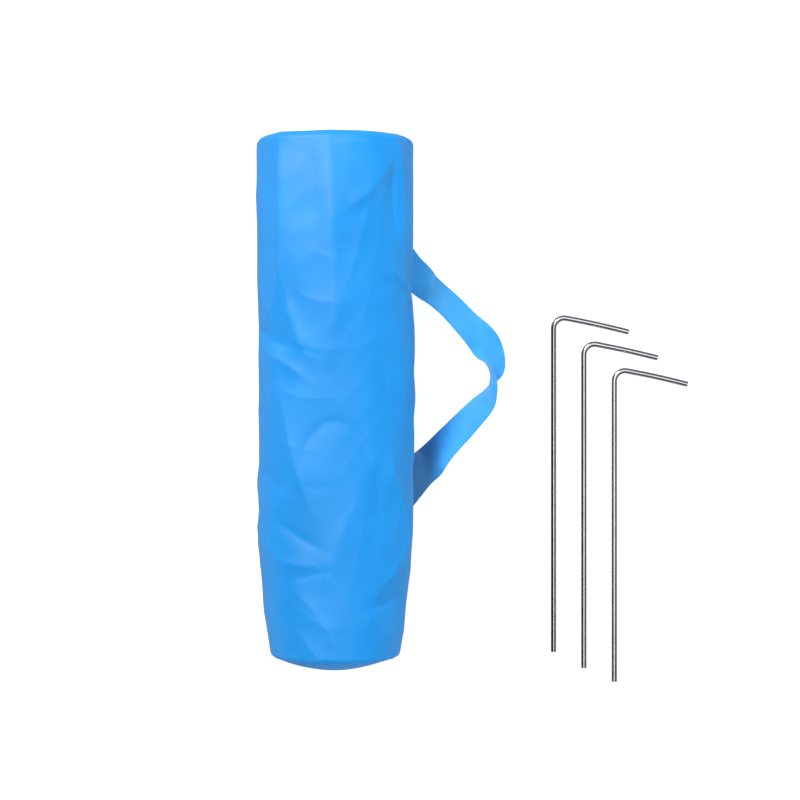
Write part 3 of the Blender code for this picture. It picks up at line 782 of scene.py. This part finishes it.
rollShape = {
    "lowY": -0.156,
    "highY": 0.158,
    "turns": 9,
    "columns": 84,             # around one turn
    "rows": 40,
    "inset": 0.0050,           # from the bag's cloth
    "slack": 0.0008,           # between the poles and the first turn
}


def makeSailRoll():
    # Flag cloth rolled round the poles: a spiral whose rings pass evenly from a circle to the
    # bag's section, (1 - t) circle + t section, with slow waves of its own
    shape = rollShape
    poles = [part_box(name) for name in frame["nodes"] if name.startswith("pole_")]
    middle = float(sum(low[2] + high[2] for low, high in poles)) / (2 * len(poles))
    radius = max(float(high[0]) for low, high in poles) + shape["slack"]
    y = np.linspace(shape["lowY"], shape["highY"], shape["rows"])
    angle = np.linspace(0, full * shape["turns"], shape["turns"] * shape["columns"] + 1)
    share = (angle / angle[-1])[None, :, None]
    halfWidth, halfHeight, centre, roundness = bagSize(y)
    outside = superRing(y, halfWidth - shape["inset"], halfHeight - shape["inset"],
                        centre, roundness, angle)
    inside = superRing(y, np.full(len(y), radius), np.full(len(y), radius),
                       np.full(len(y), middle), np.full(len(y), 2.0), angle)
    points = inside + (outside - inside) * share
    ripple = waves(angle[None, :], y[:, None], 47, 6, (2, 6), (10, 60), wholeU=False)
    points[..., 0] += 0.0003 * ripple * np.cos(angle)
    points[..., 2] += 0.0003 * ripple * np.sin(angle)
    along = np.linalg.norm(np.diff(points[shape["rows"] // 2], axis=0), axis=1)
    length = np.concatenate([[0], np.cumsum(along)])
    uv = np.stack(np.broadcast_arrays(length[None, :], y[:, None]), -1)
    roll = surface("sailRoll", points, uv, wrapU=False, flip=True)
    finishPiece(roll, sailCloth, "bag", "sail_cloth", "sail_roll")
    print("sail roll", round(float(length[-1]), 3), "m of cloth")
    return roll


def softTape(node, name, material, slot):
    # The flat tape's own shape with rounded edges, its faces rippled by slow waves
    mesh = frame["nodes"][node].data.copy()
    mesh.transform(frame["nodes"][node].matrix_world)
    mesh.materials.clear()
    piece = bpy.data.objects.new(name, mesh)
    bpy.context.scene.collection.objects.link(piece)
    work = bmesh.new()
    work.from_mesh(mesh)
    bmesh.ops.remove_doubles(work, verts=work.verts, dist=1e-6)
    longEdges = [edge for edge in work.edges if edge.calc_length() > 0.006]
    bmesh.ops.subdivide_edges(work, edges=longEdges, cuts=3, use_grid_fill=True)
    sharp = [edge for edge in work.edges
             if len(edge.link_faces) == 2 and edge.calc_face_angle() > math.radians(50)]
    bmesh.ops.bevel(work, geom=sharp, offset=0.0002, segments=2, affect="EDGES", clamp_overlap=True)
    for vert in work.verts:
        x, y, z = vert.co
        vert.co = vert.co + vert.normal * 0.00006 * (math.sin(310 * y + 90 * z) + math.sin(270 * x))
    work.to_mesh(mesh)
    work.free()
    mesh.shade_smooth()
    finishPiece(piece, material, "bag", slot, node)
    return piece


makeBagWall()
makeBasePanel()
makeMouth()
makeSailRoll()
for seam in ("base", "side"):
    softTape(f"{seam}_seam_binding", f"{seam}SeamBinding", bindingTape, "binding_tape")
for end in ("upper", "lower"):
    softTape(f"strap_tail_{end}", f"strapTail{end.capitalize()}", strapWebbing, "strap_webbing")
print("bag made")
makeStrap()
print("strap made")
for number in (1, 2, 3):
    makePeg(number)
print("pegs made")

# The hidden poles keep their own solids and get better finishes
for name, node in frame["nodes"].items():
    if name.startswith("pole_"):
        node.data.materials.clear()
        node.data.materials.append(poleFibre if name.startswith("pole_section") else ferruleSteel)
print("poles finished")

stageLook = {
    "floorWhite": 0.90,        # light the floor gives off
    "floorAlbedo": 0.30,
    "floorShine": (0.20, 0.20, 0.21),      # colour of the floor in glossy reflections
    "softbox": 19.0,           # lamp powers in watts
    "softboxSize": 2.3,
    "softboxHeight": 2.4,
    "key": 33.0,
    "front": 8.0,
    "fill": 10.0,
    "world": 0.09,
}


def makeFloor():
    # A white sweep: diffuse plus a share of its own light, and grey in glossy reflections
    bpy.ops.mesh.primitive_plane_add(size=90, location=(0, 0, -0.0003))
    floor = bpy.context.active_object
    floor.name = "floor"
    material, tree, shader = newMaterial("floorWhite")
    shader.inputs["Base Color"].default_value = (stageLook["floorAlbedo"],) * 3 + (1,)
    shader.inputs["Roughness"].default_value = 0.9
    shader.inputs["Specular IOR Level"].default_value = 0.0
    glow = addNode(tree, "ShaderNodeEmission")
    glow.inputs["Color"].default_value = (1, 1, 1, 1)
    glow.inputs["Strength"].default_value = stageLook["floorWhite"]
    both = addNode(tree, "ShaderNodeAddShader")
    tree.links.new(shader.outputs[0], both.inputs[0])
    tree.links.new(glow.outputs[0], both.inputs[1])
    grey = addNode(tree, "ShaderNodeBsdfDiffuse")
    grey.inputs["Color"].default_value = (*stageLook["floorShine"], 1)
    path = addNode(tree, "ShaderNodeLightPath")
    mix = addNode(tree, "ShaderNodeMixShader")
    tree.links.new(path.outputs["Is Glossy Ray"], mix.inputs[0])
    tree.links.new(both.outputs[0], mix.inputs[1])
    tree.links.new(grey.outputs[0], mix.inputs[2])
    tree.links.new(mix.outputs[0], tree.nodes["Material Output"].inputs[0])
    floor.data.materials.append(material)


def makeFlag():
    # A black card between the bag and the pegs, seen only in their shine
    low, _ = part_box("ground_peg_1")
    x = float(low[0]) - 0.014
    mesh = bpy.data.meshes.new("blackFlag")
    mesh.from_pydata([(x, -0.25, 0.001), (x, 0.11, 0.001), (x, 0.11, 0.11), (x, -0.25, 0.11)],
                     [], [(0, 1, 2, 3)])
    flag = bpy.data.objects.new("blackFlag", mesh)
    bpy.context.scene.collection.objects.link(flag)
    material, _, shader = newMaterial("blackCard")
    shader.inputs["Base Color"].default_value = (0.01, 0.01, 0.01, 1)
    shader.inputs["Specular IOR Level"].default_value = 0.0
    mesh.materials.append(material)
    flag.visible_camera = flag.visible_diffuse = flag.visible_shadow = False


def areaLight(name, location, target, size, power):
    data = bpy.data.lights.new(name, "AREA")
    data.shape = "SQUARE"
    data.size = size
    data.energy = power
    light = bpy.data.objects.new(name, data)
    bpy.context.scene.collection.objects.link(light)
    light.location = location
    aim = np.array(target, float) - np.array(location, float)
    flat = math.hypot(aim[0], aim[1])
    light.rotation_euler = (math.atan2(flat, -aim[2]), 0, math.atan2(aim[1], aim[0]) - math.pi / 2)
    return light


makeFloor()
makeFlag()
areaLight("softbox", (-0.10, 0.20, stageLook["softboxHeight"]), (0, 0, 0),
          stageLook["softboxSize"], stageLook["softbox"])
areaLight("key", (-0.62, 1.02, 1.38), (0, 0, 0), 0.42, stageLook["key"])
fill = areaLight("fill", (1.40, 0.05, 0.40), (0, 0, 0.03), 0.7, stageLook["fill"])
fill.visible_glossy = False
front = areaLight("front", (0.05, -1.50, 0.60), (0, 0, 0), 0.8, stageLook["front"])
front.visible_glossy = False

world = bpy.data.worlds.new("studio")
world.use_nodes = True
world.node_tree.nodes["Background"].inputs[0].default_value = (0.94, 0.96, 1.0, 1)
world.node_tree.nodes["Background"].inputs[1].default_value = stageLook["world"]
bpy.context.scene.world = world
bpy.context.scene.view_settings.view_transform = "Standard"

cameraPlace = {"height": 1.2, "x": 0.0458, "y": -0.0018, "frameWidth": 0.592}
cameraData = bpy.data.cameras.new("camera")
cameraData.sensor_width = 36
cameraData.lens = 36 * cameraPlace["height"] / cameraPlace["frameWidth"]
camera = bpy.data.objects.new("camera", cameraData)
bpy.context.scene.collection.objects.link(camera)
camera.location = (cameraPlace["x"], cameraPlace["y"], cameraPlace["height"])
bpy.context.scene.camera = camera
print("floor, light and camera set")
